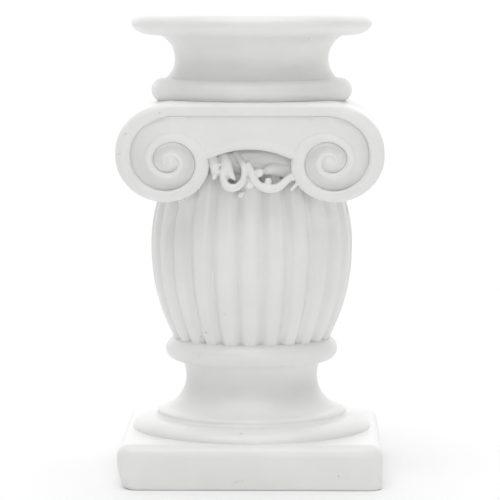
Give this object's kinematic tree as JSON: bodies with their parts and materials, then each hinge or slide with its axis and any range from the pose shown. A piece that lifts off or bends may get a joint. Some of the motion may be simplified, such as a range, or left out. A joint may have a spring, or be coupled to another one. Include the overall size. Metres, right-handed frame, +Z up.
{
  "type": "roman pillar",
  "caption": "Small cast Ionic pillar: flat round top, scrolled capital, bulging reeded barrel, bell foot and square plinth.",
  "frame": {"origin": "middle of the plinth's underside", "axes": "+Z up along the pillar's axis, front with the leaf scroll towards -Y, volutes out along X"},
  "size_m": [0.0912, 0.09, 0.16],
  "materials": {
    "cast_white": "satin"
  },
  "bodies": {
    "root": {"pillar": "cast_white"}
  },
  "joints": []
}
